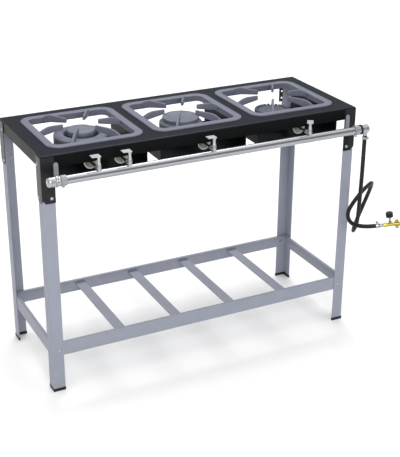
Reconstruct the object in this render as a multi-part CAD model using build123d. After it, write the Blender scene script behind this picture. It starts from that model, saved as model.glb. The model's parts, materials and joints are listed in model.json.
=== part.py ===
"""Three-burner floor-standing gas stove: steel table on angle legs, slatted shelf, cast grates,
chrome gas manifold with four lever taps, and a rubber hose with a cylinder valve.

Frame: millimetres, +X to the operator's right, +Y to the back, +Z up, floor at Z = 0.
"""
import os
from math import cos, pi, radians, sin, tan

from build123d import *

os.makedirs("parts", exist_ok=True)

# ---------------------------------------------------------------- driving dimensions
TABLE_W = 1060.0
TABLE_D = 388.0
TABLE_Z = 775.0
SHEET = 2.0
SKIRT_H = 38.0
TABLE_X = -5.0                      # table centre left of the frame's origin
TABLE_Y = 36.64                     # table centre behind the frame's origin

GRATE_L = 304.0
GRATE_PITCH = 335.0
BAYS = {"left": -GRATE_PITCH, "middle": 0.0, "right": GRATE_PITCH}

LEG_W = 38.0
LEG_T = 2.5
FOOT_H = 10.0

SHELF_Z0 = 122.0
SHELF_H = 44.0
SHELF_LIP = 10.0
SLAT_W = 35.0
SLAT_XS = (-293.5, -98.0, 98.0, 293.5)

BRACKET_W = 39.0
BRACKET_Z0 = 630.0
BOLT_R = 3.0
BOLT_GAP = 0.2

PIPE_R = 12.7
PIPE_Y = -247.0
PIPE_Z = 716.0
PIPE_HALF = 545.0

GAS_Z = 732.5                       # axis of the tap outlets and of the mixing tubes
TAP_XS = (-376.0, -281.0, -9.0, 326.0)
TAP_TURN = (0.0, 0.0, 0.0, 57.0)    # how far each lever stands open
MOUTH_Y = -183.0

TRAY_W = 288.0
TRAY_Z = 690.0

HOSE_R = 6.75

HALF_W = TABLE_W / 2
HALF_D = TABLE_D / 2
PLATE_Z0 = TABLE_Z - SHEET
SKIRT_Z0 = TABLE_Z - SKIRT_H


# ---------------------------------------------------------------- helpers
def span(x0, x1, y0, y1, z0, z1):
    """Box between two opposite corners."""
    return Pos((x0 + x1) / 2, (y0 + y1) / 2, (z0 + z1) / 2) * Box(x1 - x0, y1 - y0, z1 - z0)


def rod(start, end, radius):
    """Solid cylinder from one point to another."""
    a = Vector(*start)
    b = Vector(*end)
    plane = Plane(origin=a, z_dir=b - a)
    return plane * Cylinder(radius, (b - a).length, align=(Align.CENTER, Align.CENTER, Align.MIN))


def cone(start, end, radius_start, radius_end):
    """Solid cone from one point to another."""
    a = Vector(*start)
    b = Vector(*end)
    plane = Plane(origin=a, z_dir=b - a)
    return plane * Cone(radius_start, radius_end, (b - a).length, align=(Align.CENTER, Align.CENTER, Align.MIN))


def rounded_slab(x, y, width, depth, radius, z0, z1):
    """Upright prism with rounded corners."""
    return extrude(Pos(x, y, z0) * RectangleRounded(width, depth, radius), z1 - z0)


def turned(points, x=0.0, y=0.0):
    """Solid of revolution about a vertical axis, from a closed (radius, height) outline."""
    outline = Plane.XZ * Polygon(*points, align=None)
    return Pos(x, y, 0) * revolve(outline, Axis.Z)


def mirrored(shape, sx, sy):
    """Front-right master mirrored to another corner."""
    result = shape
    if sx < 0:
        result = mirror(result, about=Plane.YZ)
    if sy > 0:
        result = mirror(result, about=Plane.XZ)
    return result


def save(name, *solids):
    """Write one named sub-part, moved from table coordinates to the frame."""
    placed = [Pos(TABLE_X, TABLE_Y, 0) * solid for solid in solids]
    shape = placed[0] if len(placed) == 1 else Compound(children=placed)
    export_step(shape, f"parts/{name}.step")


def dome_bolt(point, direction, grip):
    """Dome-head bolt and nut: the head is at the point, the shank runs along the direction."""
    head_r = 5.4
    head_h = 3.0
    nut_h = 3.0
    plane = Plane(origin=Vector(*point), z_dir=Vector(*direction))
    up = (Align.CENTER, Align.CENTER, Align.MIN)
    shank = Cylinder(BOLT_R, grip + nut_h, align=up)
    nut = Pos(0, 0, grip) * extrude(RegularPolygon(5.2, 6), nut_h)
    ball_r = (head_r ** 2 + head_h ** 2) / (2 * head_h)
    ball = Pos(0, 0, ball_r - head_h) * Sphere(ball_r)
    head = ball & (Pos(0, 0, -head_h) * Cylinder(head_r, head_h, align=up))
    return plane * (shank + nut + head)


def hole(point, direction, depth):
    """Clearance hole for a dome bolt."""
    start = Vector(*point) - Vector(*direction)
    return rod(start, start + Vector(*direction) * (depth + 2), BOLT_R + BOLT_GAP)


CORNERS = {"front_left": (-1, -1), "front_right": (1, -1), "back_left": (-1, 1), "back_right": (1, 1)}

# ---------------------------------------------------------------- bolt positions
BRACKET_T = 2.0
OUT_Y = HALF_D + BRACKET_T
OUT_X = HALF_W + BRACKET_T
FACE_BOLT_X = 503.0
SIDE_BOLT_Y = 167.0
UPPER_BOLT_Z = 746.0
LOWER_BOLT_Z = 645.0
SHELF_BOLT_X = 505.0
SHELF_BOLT_Z = 142.0
LEG_GRIP = BRACKET_T + LEG_T
SKIRT_GRIP = BRACKET_T + SHEET
RAIL_T = 2.0
RAIL_GRIP = LEG_T + RAIL_T


def corner_bolts(sx, sy):
    """(head point, direction, grip) of every bolt at one corner bracket."""
    return [
        ((sx * FACE_BOLT_X, sy * OUT_Y, LOWER_BOLT_Z), (0, -sy, 0), LEG_GRIP),
        ((sx * OUT_X, sy * SIDE_BOLT_Y, LOWER_BOLT_Z), (-sx, 0, 0), LEG_GRIP),
        ((sx * OUT_X, sy * SIDE_BOLT_Y, UPPER_BOLT_Z), (-sx, 0, 0), SKIRT_GRIP),
    ]


def shelf_bolt(sx, sy):
    """The bolt that holds the shelf frame to one leg."""
    return ((sx * SHELF_BOLT_X, sy * HALF_D, SHELF_BOLT_Z), (0, -sy, 0), RAIL_GRIP)


def drilled(shape, bolts):
    """Clearance holes for a list of bolts."""
    for point, direction, grip in bolts:
        shape = shape - hole(point, direction, grip)
    return shape


# ---------------------------------------------------------------- table
CUTOUT_L = 276.0
CUTOUT_R = 32.0
EDGE_R = 3.0


def table_top():
    """Pressed plate with folded skirts and one square cut-out for each grate."""
    outer = span(-HALF_W, HALF_W, -HALF_D, HALF_D, SKIRT_Z0, TABLE_Z)
    outer = fillet(outer.edges().group_by(Axis.Z)[-1], EDGE_R)
    inner = span(-HALF_W + SHEET, HALF_W - SHEET, -HALF_D + SHEET, HALF_D - SHEET, SKIRT_Z0 - 1, PLATE_Z0)
    shell = outer - inner
    for x in BAYS.values():
        shell = shell - rounded_slab(x, 0, CUTOUT_L, CUTOUT_L, CUTOUT_R, PLATE_Z0 - 1, TABLE_Z + 1)
    bolts = [bolt for corner in CORNERS.values() for bolt in corner_bolts(*corner)]
    return drilled(shell, bolts)


# ---------------------------------------------------------------- legs, brackets and feet
FOOT_WALL = 1.0
LEG_Z0 = 3.0
BEND_R = 2.0


def angle(outer_x, outer_y, width, wall, z0, z1, bend=0.0):
    """Front-right steel angle: outer faces at the given distances, flanges reaching inwards."""
    body = span(outer_x - width, outer_x, -outer_y, -outer_y + width, z0, z1)
    if bend > 0:
        corner = (outer_x, -outer_y, (z0 + z1) / 2)
        body = fillet(body.edges().filter_by(Axis.Z).sort_by_distance(corner)[0], bend)
    return body - span(outer_x - width - 1, outer_x - wall, -outer_y + wall, -outer_y + width + 1, z0 - 1, z1 + 1)


def leg(sx, sy):
    """Steel angle leg that stands under the skirt."""
    body = mirrored(angle(HALF_W, HALF_D, LEG_W, LEG_T, LEG_Z0, SKIRT_Z0, BEND_R), sx, sy)
    return drilled(body, corner_bolts(sx, sy) + [shelf_bolt(sx, sy)])


def foot(sx, sy):
    """Plastic shoe pushed over the leg's lower end."""
    wall = LEG_T + 2 * FOOT_WALL
    shoe = angle(HALF_W + FOOT_WALL, HALF_D + FOOT_WALL, LEG_W + 2 * FOOT_WALL, wall, 0, FOOT_H)
    shoe = shoe - angle(HALF_W, HALF_D, LEG_W, LEG_T, LEG_Z0, FOOT_H + 1)
    return mirrored(shoe, sx, sy)


BRACKET_Z1 = TABLE_Z - EDGE_R - 1
CHAMFER = 7.0
BACK_TAB_W = 53.0
BACK_TAB_Z0 = 689.0
TAB_HOLE_R = 3.5
TAB_HOLES = ((489.0, 702.0), (489.0, 726.0))


def corner_bracket(sx, sy):
    """Folded corner plate over skirt and leg. The back ones carry a wider, drilled tab."""
    body = angle(OUT_X, OUT_Y, BRACKET_W + BRACKET_T, BRACKET_T, BRACKET_Z0, BRACKET_Z1, BEND_R)
    corner = Pos(OUT_X, -OUT_Y, BRACKET_Z0) * Rot(0, 45, 45) * Box(2 * CHAMFER, 2 * CHAMFER, 2 * CHAMFER)
    body = body - corner
    tip = Pos(OUT_X, -OUT_Y + BRACKET_W + BRACKET_T, BRACKET_Z0) * Rot(45, 0, 0)
    body = body - tip * Box(4 * BRACKET_T, 2 * CHAMFER, 2 * CHAMFER)
    if sy > 0:
        body = body + span(OUT_X - BACK_TAB_W, OUT_X - BRACKET_W, -OUT_Y, -OUT_Y + BRACKET_T, BACK_TAB_Z0, BRACKET_Z1)
        for x, z in TAB_HOLES:
            body = body - rod((x, -OUT_Y - 1, z), (x, -OUT_Y + BRACKET_T + 1, z), TAB_HOLE_R)
    return drilled(mirrored(body, sx, sy), corner_bolts(sx, sy))


# ---------------------------------------------------------------- shelf
RAIL_OUT_X = HALF_W - LEG_T
RAIL_OUT_Y = HALF_D - LEG_T
SHELF_Z1 = SHELF_Z0 + SHELF_H
SLAT_Z = SHELF_Z1 - 11.0
SLAT_T = 2.5


def long_rail(sy):
    """Front or back shelf rail: upright web with a lip turned inwards along its top."""
    web = span(-RAIL_OUT_X, RAIL_OUT_X, -RAIL_OUT_Y, -RAIL_OUT_Y + RAIL_T, SHELF_Z0, SHELF_Z1)
    lip = span(-RAIL_OUT_X, RAIL_OUT_X, -RAIL_OUT_Y, -RAIL_OUT_Y + SHELF_LIP, SHELF_Z1 - RAIL_T, SHELF_Z1)
    rail = mirrored(web + lip, 1, sy)
    return drilled(rail, [shelf_bolt(-1, sy), shelf_bolt(1, sy)])


def side_rail(sx):
    """Left or right shelf rail, welded between the long ones."""
    reach = RAIL_OUT_Y - RAIL_T
    lip_reach = RAIL_OUT_Y - SHELF_LIP
    web = span(RAIL_OUT_X - RAIL_T, RAIL_OUT_X, -reach, reach, SHELF_Z0, SHELF_Z1 - RAIL_T)
    upper = span(RAIL_OUT_X - RAIL_T, RAIL_OUT_X, -lip_reach, lip_reach, SHELF_Z1 - RAIL_T, SHELF_Z1)
    lip = span(RAIL_OUT_X - SHELF_LIP, RAIL_OUT_X, -lip_reach, lip_reach, SHELF_Z1 - RAIL_T, SHELF_Z1)
    return mirrored(web + upper + lip, sx, -1)


def slat(x):
    """Flat shelf slat with both ends turned up against the long rails."""
    reach = RAIL_OUT_Y - RAIL_T
    bar = span(x - SLAT_W / 2, x + SLAT_W / 2, -reach, reach, SLAT_Z - SLAT_T, SLAT_Z)
    tab_z1 = SHELF_Z1 - RAIL_T
    front = span(x - SLAT_W / 2, x + SLAT_W / 2, -reach, -reach + SLAT_T, SLAT_Z - SLAT_T, tab_z1)
    back = span(x - SLAT_W / 2, x + SLAT_W / 2, reach - SLAT_T, reach, SLAT_Z - SLAT_T, tab_z1)
    return bar + front + back


# ---------------------------------------------------------------- grates
RING_W = 24.0
RING_R = 42.0
RING_T = 4.0
RING_WALL = 5.0
RING_Z0 = TABLE_Z - 15.0
FINGER_T = 8.0
FINGER_IN = 57.0
FINGER_TOP = TABLE_Z + 17.0
FINGER_ANGLES = range(0, 360, 60)
RING_HALF = GRATE_L / 2 - RING_W


def grate(x):
    """Cast grate: square ring resting on the plate, a wall down through the cut-out, six fingers."""
    inner = 2 * RING_HALF
    inner_r = RING_R - RING_W + 4
    flange = rounded_slab(x, 0, GRATE_L, GRATE_L, RING_R, TABLE_Z, TABLE_Z + RING_T)
    flange = fillet(flange.edges().group_by(Axis.Z)[-1], 2.0)
    wall_l = inner + 2 * RING_WALL
    wall = rounded_slab(x, 0, wall_l, wall_l, inner_r + RING_WALL, RING_Z0, TABLE_Z + 1)
    well = rounded_slab(x, 0, inner, inner, inner_r, RING_Z0 - 1, TABLE_Z + RING_T + 1)
    body = flange + wall - well
    for turn in FINGER_ANGLES:
        body = body + finger(x, turn)
    return body


def finger(x, turn):
    """One pot finger: low at the ring, arched up, and shallow at its inner end."""
    c = abs(cos(radians(turn)))
    s = abs(sin(radians(turn)))
    reach = RING_HALF / max(c, s) + 2.0
    top = FINGER_TOP
    ring_top = TABLE_Z + RING_T - 0.5
    low = RING_Z0 + 4
    outline = Plane.XZ * make_face(
        Line((FINGER_IN, top - 14), (FINGER_IN, top - 1))
        + Line((FINGER_IN, top - 1), (FINGER_IN + 2, top))
        + Line((FINGER_IN + 2, top), (reach - 40, top))
        + ThreePointArc((reach - 40, top), (reach - 16, top - 5.2), (reach, ring_top))
        + Line((reach, ring_top), (reach, low))
        + Line((reach, low), (FINGER_IN, top - 14))
    )
    plate = extrude(outline, FINGER_T / 2, both=True)
    return Pos(x, 0, 0) * Rot(0, 0, turn) * plate


# ---------------------------------------------------------------- burners
FOOT_R = 30.0
TRAY_T = 1.5
TRAY_TOP = TRAY_Z + TRAY_T
SEAT_GAP = 0.3
BOSS_R = 22.0
COLLAR_R = BOSS_R + 0.5
CUP_RISE = 10.0


def burner_body(x, outer, seat_r, top):
    """Cast burner bowl on a foot that stands on the tray. Its centre boss locates the cap."""
    floor = top - 30.0
    rim_in = seat_r - 8
    outline = [
        (0, TRAY_TOP), (FOOT_R, TRAY_TOP), (FOOT_R, TRAY_TOP + 4), (FOOT_R * 0.7, floor),
        (outer, floor + 5), (outer, top - 6), (seat_r, top), (rim_in, top), (rim_in, floor + 8),
        (BOSS_R, floor + 8), (BOSS_R, top + 3), (0, top + 3),
    ]
    return turned(outline, x)


def ring_burner_body(x, outer, top):
    """Double burner bowl: an outer ring channel and a centre cup."""
    floor = top - 32.0
    outline = [
        (0, TRAY_TOP), (FOOT_R, TRAY_TOP), (FOOT_R, TRAY_TOP + 4), (FOOT_R, floor), (outer, floor + 3),
        (outer, top), (outer - 5, top), (outer - 5, floor + 8), (58, floor + 8), (58, top), (53.5, top),
        (53.5, floor + 8), (38, floor + 8), (38, top + CUP_RISE), (33, top + CUP_RISE), (33, floor + 10),
        (0, floor + 10),
    ]
    return turned(outline, x)


def ring_lid(x, outer, seat):
    """Annular lid of the double burner, with a raised rim and a skirt inside the bowl."""
    z = seat + SEAT_GAP
    outline = [
        (52.5, z), (52.5, z + 9), (56, z + 12), (70, z + 12), (outer, z + 8), (outer, z),
        (outer - 5.5, z), (outer - 5.5, z - 6), (outer - 9, z - 6), (outer - 9, z + 3), (62, z + 3),
        (62, z - 6), (58.5, z - 6), (58.5, z),
    ]
    return turned(outline, x)


def centre_cap(x, seat):
    """Round cap over the centre cup of the double burner."""
    z = seat + SEAT_GAP
    outline = [
        (0, z + 4), (32.5, z + 4), (32.5, z - 5), (28.5, z - 5), (28.5, z - 1), (0, z - 1),
    ]
    plug = turned(outline, x)
    crown = turned([(0, z + 3), (40, z), (43.5, z), (43.5, z + 12.5), (40, z + 15), (0, z + 16)], x)
    return plug + crown


def disc_cap(x, outer, seat, height):
    """Flat disc cap with a collar around the bowl's centre boss."""
    z = seat + SEAT_GAP
    top = z + height
    outline = [
        (COLLAR_R, z + 4), (COLLAR_R, z - 5), (COLLAR_R + 3.5, z - 5), (COLLAR_R + 3.5, z), (outer, z),
        (outer, top - 2), (outer - 2, top), (0, top), (0, z + 4),
    ]
    return turned(outline, x)


TOOTH_COUNT = 26


def toothed_cap(x, outer, seat):
    """Low cap of the small burner, with a toothed flame rim and a dished centre."""
    z = seat + SEAT_GAP
    outline = [
        (COLLAR_R, z + 4), (COLLAR_R, z - 5), (COLLAR_R + 3.5, z - 5), (COLLAR_R + 3.5, z), (outer - 2, z),
        (outer, z + 2), (outer, z + 9), (outer - 4, z + 11), (outer - 9, z + 11), (outer - 13, z + 7),
        (24, z + 7), (18, z + 11), (0, z + 11), (0, z + 4),
    ]
    cap = turned(outline, x)
    for index in range(TOOTH_COUNT):
        turn = 360.0 * index / TOOTH_COUNT
        cutter = Pos(outer, 0, z + 8) * Box(9, 4.5, 8)
        cap = cap - Pos(x, 0, 0) * Rot(0, 0, turn) * cutter
    return cap


# ---------------------------------------------------------------- mixing tubes
CUP_R = 21.0
CUP_WALL = 1.6
COLLAR_PIPE_R = 12.5
TUBE_R = 11.0
TUBE_BORE_R = 7.5
TUBE_GAP = 0.2
THROAT_Y = -160.0
COLLAR_L = 10.0


def venturi_axis(x, end):
    """Start and end of the straight run from the throat's collar to the burner."""
    return (x, THROAT_Y + COLLAR_L / 2, GAS_Z), end


def venturi(x, end):
    """Mixing tube: a flared bell mouth behind the injector and a straight tube to the burner."""
    mouth = (x, MOUTH_Y, GAS_Z)
    throat = (x, THROAT_Y, GAS_Z)
    collar = rod(throat, (x, THROAT_Y + COLLAR_L, GAS_Z), COLLAR_PIPE_R)
    outside = cone(mouth, throat, CUP_R, COLLAR_PIPE_R) + collar + rod(*venturi_axis(x, end), TUBE_R)
    hollow = cone(mouth, throat, CUP_R - CUP_WALL, TUBE_BORE_R + CUP_WALL)
    middle = ((x + end[0]) / 2, (THROAT_Y + end[1]) / 2, (GAS_Z + end[2]) / 2)
    return outside - hollow - rod((x, THROAT_Y - 1, GAS_Z), middle, TUBE_BORE_R)


def venturi_hole(x, end):
    """Hole that the mixing tube needs in the burner's wall."""
    return rod(*venturi_axis(x, end), TUBE_R + TUBE_GAP)


# ---------------------------------------------------------------- trays and their sides
TRAY_Y0 = -165.0
TRAY_Y1 = 95.0
TRAY_LIP = 9.0
SIDE_Y0 = -165.0
SIDE_Y1 = 117.0
SIDE_T = 2.0
SIDE_FOOT = 14.0
SIDE_FLANGE = 12.0


def tray(x):
    """Shallow burner tray with turned-up lips."""
    outer = span(x - TRAY_W / 2, x + TRAY_W / 2, TRAY_Y0, TRAY_Y1, TRAY_Z, TRAY_Z + TRAY_LIP)
    inner = span(
        x - TRAY_W / 2 + TRAY_T, x + TRAY_W / 2 - TRAY_T, TRAY_Y0 + TRAY_T, TRAY_Y1 - TRAY_T,
        TRAY_TOP, TRAY_Z + TRAY_LIP + 1,
    )
    return outer - inner


def tray_side(x, side):
    """Side panel with a foot under the tray, an upright, and a flange under the plate."""
    edge = x + side * TRAY_W / 2
    inner = edge - side * SIDE_FOOT
    skin = edge + side * SIDE_T
    outer = edge + side * SIDE_FLANGE
    foot_part = span(min(inner, skin), max(inner, skin), SIDE_Y0, SIDE_Y1, TRAY_Z - SIDE_T, TRAY_Z)
    upright = span(min(edge, skin), max(edge, skin), SIDE_Y0, SIDE_Y1, TRAY_Z, PLATE_Z0)
    top = span(min(edge, outer), max(edge, outer), SIDE_Y0, SIDE_Y1, PLATE_Z0 - SIDE_T, PLATE_Z0)
    return foot_part + upright + top


# ---------------------------------------------------------------- manifold
CAP_L = 24.0
CAP_R = 14.4
CAP_X = -531.0
END_L = 25.0
END_R = 13.8
ELBOW_X = 536.0
STRAP_T = 3.0
STRAP_W = 16.0
PLATE_W = 14.0
STRAP_XS = {"left": -484.0, "right": 500.0}
PLATE_SHIFT = {"left": -3.0, "right": 0.0}
STRAP_TOP = 753.0
CLAMP_R = PIPE_R + STRAP_T
PIPE_X0 = CAP_X + CAP_L - 8
PIPE_X1 = PIPE_HALF - END_L + 4


def manifold_pipe():
    """Gas pipe with a feed hole under every tap."""
    pipe = rod((PIPE_X0, PIPE_Y, PIPE_Z), (PIPE_X1, PIPE_Y, PIPE_Z), PIPE_R)
    pipe = pipe - rod((PIPE_X0 - 1, PIPE_Y, PIPE_Z), (PIPE_X1 + 1, PIPE_Y, PIPE_Z), PIPE_R - 2.2)
    for x in TAP_XS:
        pipe = pipe - rod((x, PIPE_Y, PIPE_Z), (x, PIPE_Y, PIPE_Z + PIPE_R + 1), 4.0)
    return pipe


def end_cap():
    """Screwed cap that closes the pipe's left end."""
    x0 = CAP_X
    body = rod((x0, PIPE_Y, PIPE_Z), (x0 + CAP_L, PIPE_Y, PIPE_Z), CAP_R)
    body = fillet(body.edges().group_by(Axis.X)[0], 4.0)
    return body - rod((PIPE_X0, PIPE_Y, PIPE_Z), (x0 + CAP_L + 1, PIPE_Y, PIPE_Z), PIPE_R)


def end_elbow():
    """Right end fitting: turns the gas way down to the hose nipple."""
    x1 = PIPE_HALF
    body = rod((x1 - END_L, PIPE_Y, PIPE_Z), (x1, PIPE_Y, PIPE_Z), END_R)
    body = fillet(body.edges().group_by(Axis.X)[-1], 4.0)
    body = body + rod((ELBOW_X, PIPE_Y, PIPE_Z), (ELBOW_X, PIPE_Y, NIPPLE_Z1), 8.0)
    body = body - rod((x1 - END_L - 1, PIPE_Y, PIPE_Z), (PIPE_X1, PIPE_Y, PIPE_Z), PIPE_R)
    return body - rod((ELBOW_X, PIPE_Y, PIPE_Z - 8), (ELBOW_X, PIPE_Y, NIPPLE_Z1 - 1), 3.0)


def pipe_ring(x, width, radius):
    """Ring around the pipe."""
    ring = rod((x, PIPE_Y, PIPE_Z), (x + width, PIPE_Y, PIPE_Z), radius)
    return ring - rod((x - 1, PIPE_Y, PIPE_Z), (x + width + 1, PIPE_Y, PIPE_Z), PIPE_R)


def strap(x, shift):
    """Pipe strap: rounded plate on the corner bracket, an arm forward, and a loop round the pipe."""
    half = STRAP_W / 2
    crown_r = PLATE_W / 2
    px = x + shift
    face = -OUT_Y
    plate = span(px - crown_r, px + crown_r, face - STRAP_T, face, PIPE_Z - CLAMP_R, STRAP_TOP - crown_r)
    crown = rod((px, face - STRAP_T, STRAP_TOP - crown_r), (px, face, STRAP_TOP - crown_r), crown_r)
    arm = span(x - half, x + half, PIPE_Y, face, PIPE_Z - CLAMP_R, PIPE_Z - CLAMP_R + STRAP_T)
    loop = rod((x - half, PIPE_Y, PIPE_Z), (x + half, PIPE_Y, PIPE_Z), CLAMP_R)
    body = plate + crown + arm + loop
    body = body - rod((x - half - 1, PIPE_Y, PIPE_Z), (x + half + 1, PIPE_Y, PIPE_Z), PIPE_R)
    return body - rod((x, PIPE_Y, PIPE_Z - CLAMP_R - 1), (x, PIPE_Y, PIPE_Z - PIPE_R + 1), 2.2)


def strap_screw(x):
    """Clamp screw under the pipe strap."""
    top = PIPE_Z - PIPE_R - 0.2
    head_z = PIPE_Z - CLAMP_R
    shank = rod((x, PIPE_Y, head_z - 1), (x, PIPE_Y, top), 2.0)
    head = rod((x, PIPE_Y, head_z - 6), (x, PIPE_Y, head_z), 4.0)
    return shank + head


# ---------------------------------------------------------------- taps
TAP_R = 7.0
TAP_TOP = 745.0
SPINDLE_R = 3.0
SPINDLE_FIT = 0.05
LEVER_H = 29.0                      # top of the lever above the tap body
LEVER_T = 6.0
LEVER_RIM = 2.4
LEVER_L = 24.0
LEVER_BACK = 4.5
LEVER_W = 19.0
LEVER_KEEL = 7.0
HANDLE_GAP = 0.4


def tap_body(x):
    """Tap body saddled on the pipe, with an outlet arm that points at the mixing tube."""
    body = rod((x, PIPE_Y, PIPE_Z + PIPE_R - 6), (x, PIPE_Y, TAP_TOP), TAP_R)
    body = body + rod((x, PIPE_Y, GAS_Z), (x, -226.0, GAS_Z), 5.5)
    body = body - rod((x - 20, PIPE_Y, PIPE_Z), (x + 20, PIPE_Y, PIPE_Z), PIPE_R)
    return body - rod((x, PIPE_Y, TAP_TOP - 10), (x, PIPE_Y, TAP_TOP + 1), SPINDLE_R + SPINDLE_FIT)


def injector(x):
    """Brass injector screwed on the outlet arm, its tip inside the bell mouth."""
    nut = Plane(origin=(x, -226.0, GAS_Z), z_dir=(0, 1, 0)) * extrude(RegularPolygon(6.0, 6), 6)
    barrel = rod((x, -220.0, GAS_Z), (x, -186.0, GAS_Z), 3.8)
    tip = cone((x, -186.0, GAS_Z), (x, -178.0, GAS_Z), 3.8, 2.0)
    return nut + barrel + tip


def tap_handle(x, turn):
    """Lever handle on its spindle. Closed, the lever lies along the pipe towards the left."""
    top = LEVER_H
    under = LEVER_H - LEVER_T
    spindle = Pos(0, 0, -8) * Cylinder(SPINDLE_R, 14, align=(Align.CENTER, Align.CENTER, Align.MIN))
    stem = turned([(0, HANDLE_GAP), (5.4, HANDLE_GAP), (5.4, 5), (4.4, 7), (4.2, under), (4.2, top - 1), (0, top - 1)])
    side = Plane.XZ * make_face(Polyline(
        (LEVER_BACK, under - 3), (LEVER_BACK, top - 1.5), (LEVER_BACK - 1.5, top), (-LEVER_L, top),
        (-LEVER_L, top - LEVER_RIM), (-LEVER_KEEL, under), (LEVER_BACK - 1, under - 3), (LEVER_BACK, under - 3),
    ))
    half = LEVER_W / 2
    section = Plane.YZ * make_face(Polyline(
        (-half, top), (half, top), (half, top - LEVER_RIM), (LEVER_KEEL / 2, under), (LEVER_KEEL / 2, under - 4),
        (-LEVER_KEEL / 2, under - 4), (-LEVER_KEEL / 2, under), (-half, top - LEVER_RIM), (-half, top),
    ))
    lever = extrude(side, half, both=True) & extrude(section, LEVER_L + 10, both=True)
    corners = Pos(-LEVER_L / 2 + 2, 0, 0) * extrude(RectangleRounded(LEVER_L + 8, LEVER_W, 2.5), top + 1)
    return Pos(x, PIPE_Y, TAP_TOP) * Rot(0, 0, turn) * (stem + (lever & corners) + spindle)


# ---------------------------------------------------------------- hose and cylinder valve
NIPPLE_Z1 = 701.0
HOSE_Z1 = 694.0


def hose_nipple():
    """Nipple between the end fitting and the hose."""
    collar = rod((ELBOW_X, PIPE_Y, HOSE_Z1), (ELBOW_X, PIPE_Y, NIPPLE_Z1), 7.2)
    return collar


# points of the hose's route, in table coordinates
HOSE_ROUTE = [
    (ELBOW_X, PIPE_Y, HOSE_Z1),
    (ELBOW_X, PIPE_Y, 622.0),
    (534.0, -250.0, 556.0),
    (530.0, -253.0, 488.0),
    (533.0, -246.0, 391.0),
    (539.0, -221.0, 350.0),
    (562.0, -184.0, 326.0),
    (595.0, -147.0, 328.0),
    (629.0, -122.0, 354.0),
    (654.0, -116.0, 397.0),
    (661.0, -130.0, 444.0),
    (646.0, -159.0, 480.0),
    (614.0, -191.0, 494.0),
    (572.0, -212.0, 487.0),
    (539.0, -223.0, 467.0),
    (511.0, -235.0, 450.0),
    (487.0, -252.0, 438.0),
    (468.0, -281.0, 429.0),
    (460.0, -315.0, 426.0),
    (467.0, -348.0, 429.0),
    (488.0, -374.0, 434.0),
    (514.0, -390.0, 439.0),
]


def hose():
    """Rubber hose along its route, with an arc at every point as large as its runs allow."""
    points = [Vector(*p) for p in HOSE_ROUTE]
    radii = []
    length = (points[0] - points[1]).length
    for before, here, after in zip(points, points[1:], points[2:]):
        run_in = here - before
        run_out = after - here
        half_turn = radians(run_in.get_angle(run_out)) / 2
        radii.append(0.45 * min(run_in.length, run_out.length) / tan(half_turn))
        length += run_out.length
    path = FilletPolyline(*points, radius=radii)
    section = Plane(origin=points[0], z_dir=points[1] - points[0]) * Circle(HOSE_R)
    tube = sweep(section, path=path)
    print("hose length", round(path.length, 1), "smallest radius", round(min(radii), 1))
    print("hose volume ratio", round(tube.volume / (path.length * pi * HOSE_R ** 2), 4))
    return tube


def hose_frame():
    """Plane at the hose's free end, with its Z axis along the valve."""
    start = Vector(*HOSE_ROUTE[-2])
    end = Vector(*HOSE_ROUTE[-1])
    along = (end - start).normalized()
    across = Vector(0, 0, 1).cross(along).normalized()
    return Plane(origin=end, x_dir=across, z_dir=along)


UPWARD = (Align.CENTER, Align.CENTER, Align.MIN)
FERRULE_L = 13.0
VALVE_L = 54.0
BODY_R = 5.6
KNOB_AT = 34.0
KNOB_H = 15.0
STEM_TOP = 27.0
STEM_R = 2.2
WING_AT = 47.0
NOSE_R = 3.0


def on_valve(shape):
    """Place a shape built along +Z, with +Y up, at the end of the hose."""
    return hose_frame() * shape


def hose_clamp(plane, offset):
    """Worm-drive clamp around the hose."""
    band = Pos(0, 0, offset) * (Cylinder(HOSE_R + 1.4, 9, align=UPWARD) - Cylinder(HOSE_R + 0.3, 9, align=UPWARD))
    housing = Pos(0, HOSE_R + 3.2, offset + 4.5) * Box(9, 4.2, 8)
    screw = Pos(0, HOSE_R + 4.0, offset + 4.5) * Rot(0, 90, 0) * Cylinder(2.6, 16)
    return plane * (band + housing + screw)


def ferrule():
    """Steel ferrule between the hose and the valve."""
    outline = [(0, 0), (6.6, 0), (6.6, 9), (5.0, 11), (5.0, FERRULE_L), (0, FERRULE_L)]
    return turned(outline)


def valve_body():
    """Slim brass valve body with a hexagon and a boss for the stem."""
    barrel = Pos(0, 0, FERRULE_L) * Cylinder(BODY_R, VALVE_L - FERRULE_L - 8, align=UPWARD)
    hexagon = Pos(0, 0, FERRULE_L) * extrude(RegularPolygon(7.4, 6), 9)
    neck = Pos(0, 0, VALVE_L - 9) * Cylinder(4.6, 9, align=UPWARD)
    boss = Pos(0, 0, KNOB_AT) * Rot(-90, 0, 0) * Cylinder(4.6, 12, align=UPWARD)
    bore = Pos(0, 4, KNOB_AT) * Rot(-90, 0, 0) * Cylinder(STEM_R + 0.05, 12, align=UPWARD)
    passage = Pos(0, 0, VALVE_L - 10) * Cylinder(NOSE_R, 11, align=UPWARD)
    return barrel + hexagon + neck + boss - bore - passage


def valve_stem():
    """Steel stem of the needle valve, with a collar under the knob."""
    rod_part = Pos(0, 5, KNOB_AT) * Rot(-90, 0, 0) * Cylinder(STEM_R, STEM_TOP + 3, align=UPWARD)
    collar = Pos(0, 15, KNOB_AT) * Rot(-90, 0, 0) * Cylinder(3.6, 5, align=UPWARD)
    return rod_part + collar


def valve_knob():
    """Fluted plastic knob on the stem."""
    knob = Cylinder(11.5, KNOB_H, align=UPWARD)
    knob = fillet(knob.edges().group_by(Axis.Z)[-1], 2.5)
    for index in range(12):
        flute = Rot(0, 0, 30.0 * index) * Pos(12.3, 0, 0) * Cylinder(1.7, KNOB_H, align=UPWARD)
        knob = knob - flute
    knob = knob - Cylinder(STEM_R, 8, align=UPWARD)
    return Pos(0, STEM_TOP, KNOB_AT) * Rot(-90, 0, 0) * knob


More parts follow.
